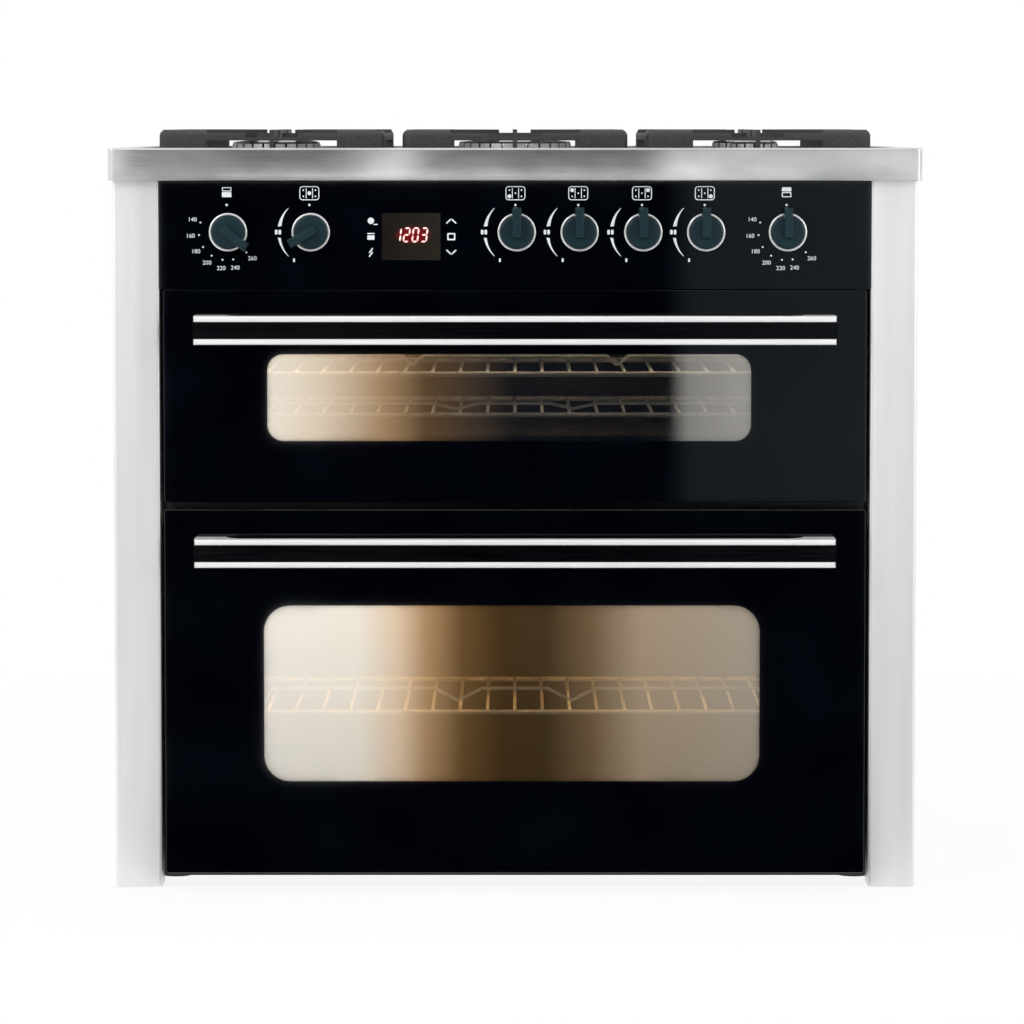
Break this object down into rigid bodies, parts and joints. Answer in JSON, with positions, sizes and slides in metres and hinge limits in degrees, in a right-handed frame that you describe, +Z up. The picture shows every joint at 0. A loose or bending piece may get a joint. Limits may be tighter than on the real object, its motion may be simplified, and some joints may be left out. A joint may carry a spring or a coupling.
{
  "type": "double oven gas cooker",
  "caption": "Free-standing wide gas cooker: steel worktop with cast pan supports, knob panel with clock, and drop-down glass doors with bar handles over stacked ovens.",
  "frame": {"origin": "on the floor, under the middle of the cooker's box", "axes": "+X to the right seen from the front, +Y to the back, +Z up"},
  "size_m": [0.9, 0.628, 0.845],
  "materials": {
    "stainless_sheet": "brushed",
    "worktop_steel": "brushed",
    "galvanised_sheet": "zinc-coated",
    "black_glass": "printed glass, gloss",
    "display_glass": "tinted, gloss",
    "clear_glass": "clear",
    "enamel": "vitreous enamel",
    "door_liner_steel": "black enamel",
    "chrome_ring": "mirror",
    "rack_wire": "plated wire",
    "polished_aluminium": "polished",
    "burner_aluminium": "cast",
    "cast_iron": "matt enamel",
    "tap_brass": "machined",
    "plain_steel": "mill finish",
    "knob_plastic": "satin",
    "handle_black": "gloss",
    "black_plastic": "moulded",
    "seal_rubber": "matt",
    "spark_ceramic": "glazed",
    "glass_wool": "mat"
  },
  "bodies": {
    "cabinet": {"side_panel_left": "stainless_sheet", "side_panel_right": "stainless_sheet", "worktop": "worktop_steel", "back_panel": "galvanised_sheet", "base_pan": "galvanised_sheet", "panel_carrier": "galvanised_sheet", "control_panel": "black_glass", "display_lens": "display_glass", "oven_lamps": "clear_glass", "front_frame": "enamel", "upper_cavity": "enamel", "lower_cavity": "enamel", "oven_floor_plates": "enamel", "burner_caps": "enamel", "knob_rings": "chrome_ring", "oven_racks": "rack_wire", "burner_cups": "burner_aluminium", "burner_heads": "burner_aluminium", "gas_taps": "tap_brass", "gas_rail": "plain_steel", "oven_burners": "plain_steel", "hinge_brackets": "plain_steel", "clock_module": "black_plastic", "cable_gland": "black_plastic", "levelling_feet": "black_plastic", "door_seals": "seal_rubber", "spark_electrodes": "spark_ceramic", "insulation": "glass_wool"},
    "upper_door": {"upper_door_glass": "black_glass", "upper_door_liner": "door_liner_steel", "upper_hinge_pins": "plain_steel", "upper_inner_glass": "clear_glass", "upper_handle_bar": "handle_black", "upper_handle_trims": "polished_aluminium", "upper_handle_brackets": "polished_aluminium"},
    "lower_door": {"lower_door_glass": "black_glass", "lower_door_liner": "door_liner_steel", "lower_hinge_pins": "plain_steel", "lower_inner_glass": "clear_glass", "lower_handle_bar": "handle_black", "lower_handle_trims": "polished_aluminium", "lower_handle_brackets": "polished_aluminium"},
    "push_main_oven": {"spindle_main_oven": "plain_steel"},
    "turn_main_oven": {"knob_main_oven": "knob_plastic"},
    "push_centre_burner": {"spindle_centre_burner": "plain_steel"},
    "turn_centre_burner": {"knob_centre_burner": "knob_plastic"},
    "push_front_left": {"spindle_front_left": "plain_steel"},
    "turn_front_left": {"knob_front_left": "knob_plastic"},
    "push_rear_left": {"spindle_rear_left": "plain_steel"},
    "turn_rear_left": {"knob_rear_left": "knob_plastic"},
    "push_rear_right": {"spindle_rear_right": "plain_steel"},
    "turn_rear_right": {"knob_rear_right": "knob_plastic"},
    "push_front_right": {"spindle_front_right": "plain_steel"},
    "turn_front_right": {"knob_front_right": "knob_plastic"},
    "push_top_oven": {"spindle_top_oven": "plain_steel"},
    "turn_top_oven": {"knob_top_oven": "knob_plastic"},
    "support_left": {"pan_support_left": "cast_iron"},
    "support_centre": {"pan_support_centre": "cast_iron"},
    "support_right": {"pan_support_right": "cast_iron"}
  },
  "joints": [
    {"name": "upper_door_hinge", "type": "hinge", "parent": "cabinet", "child": "upper_door", "pos_m": [0, -0.262, 0.446], "axis": [1, 0, 0], "range_deg": [0, 90]},
    {"name": "lower_door_hinge", "type": "hinge", "parent": "cabinet", "child": "lower_door", "pos_m": [0, -0.262, 0.031], "axis": [1, 0, 0], "range_deg": [0, 85]},
    {"name": "main_oven_push", "type": "slide", "parent": "cabinet", "child": "push_main_oven", "axis": [0, 1, 0], "range_m": [0, 0.003], "stiffness_N_per_m": 1200},
    {"name": "main_oven_turn", "type": "hinge", "parent": "push_main_oven", "child": "turn_main_oven", "pos_m": [-0.3175, -0.274, 0.732], "axis": [0, -1, 0], "range_deg": [-282, 0]},
    {"name": "centre_burner_push", "type": "slide", "parent": "cabinet", "child": "push_centre_burner", "axis": [0, 1, 0], "range_m": [0, 0.003], "stiffness_N_per_m": 1200},
    {"name": "centre_burner_turn", "type": "hinge", "parent": "push_centre_burner", "child": "turn_centre_burner", "pos_m": [-0.226, -0.274, 0.732], "axis": [0, -1, 0], "range_deg": [-119, 31]},
    {"name": "front_left_push", "type": "slide", "parent": "cabinet", "child": "push_front_left", "axis": [0, 1, 0], "range_m": [0, 0.003], "stiffness_N_per_m": 1200},
    {"name": "front_left_turn", "type": "hinge", "parent": "push_front_left", "child": "turn_front_left", "pos_m": [0.002, -0.274, 0.732], "axis": [0, -1, 0], "range_deg": [0, 150]},
    {"name": "rear_left_push", "type": "slide", "parent": "cabinet", "child": "push_rear_left", "axis": [0, 1, 0], "range_m": [0, 0.003], "stiffness_N_per_m": 1200},
    {"name": "rear_left_turn", "type": "hinge", "parent": "push_rear_left", "child": "turn_rear_left", "pos_m": [0.0715, -0.274, 0.732], "axis": [0, -1, 0], "range_deg": [0, 150]},
    {"name": "rear_right_push", "type": "slide", "parent": "cabinet", "child": "push_rear_right", "axis": [0, 1, 0], "range_m": [0, 0.003], "stiffness_N_per_m": 1200},
    {"name": "rear_right_turn", "type": "hinge", "parent": "push_rear_right", "child": "turn_rear_right", "pos_m": [0.142, -0.274, 0.732], "axis": [0, -1, 0], "range_deg": [0, 150]},
    {"name": "front_right_push", "type": "slide", "parent": "cabinet", "child": "push_front_right", "axis": [0, 1, 0], "range_m": [0, 0.003], "stiffness_N_per_m": 1200},
    {"name": "front_right_turn", "type": "hinge", "parent": "push_front_right", "child": "turn_front_right", "pos_m": [0.2115, -0.274, 0.732], "axis": [0, -1, 0], "range_deg": [0, 150]},
    {"name": "top_oven_push", "type": "slide", "parent": "cabinet", "child": "push_top_oven", "axis": [0, 1, 0], "range_m": [0, 0.003], "stiffness_N_per_m": 1200},
    {"name": "top_oven_turn", "type": "hinge", "parent": "push_top_oven", "child": "turn_top_oven", "pos_m": [0.302, -0.274, 0.732], "axis": [0, -1, 0], "range_deg": [0, 230]},
    {"name": "left_support_lift", "type": "slide", "parent": "cabinet", "child": "support_left", "axis": [0, 0, 1], "range_m": [0, 0.06]},
    {"name": "centre_support_lift", "type": "slide", "parent": "cabinet", "child": "support_centre", "axis": [0, 0, 1], "range_m": [0, 0.06]},
    {"name": "right_support_lift", "type": "slide", "parent": "cabinet", "child": "support_right", "axis": [0, 0, 1], "range_m": [0, 0.06]}
  ]
}
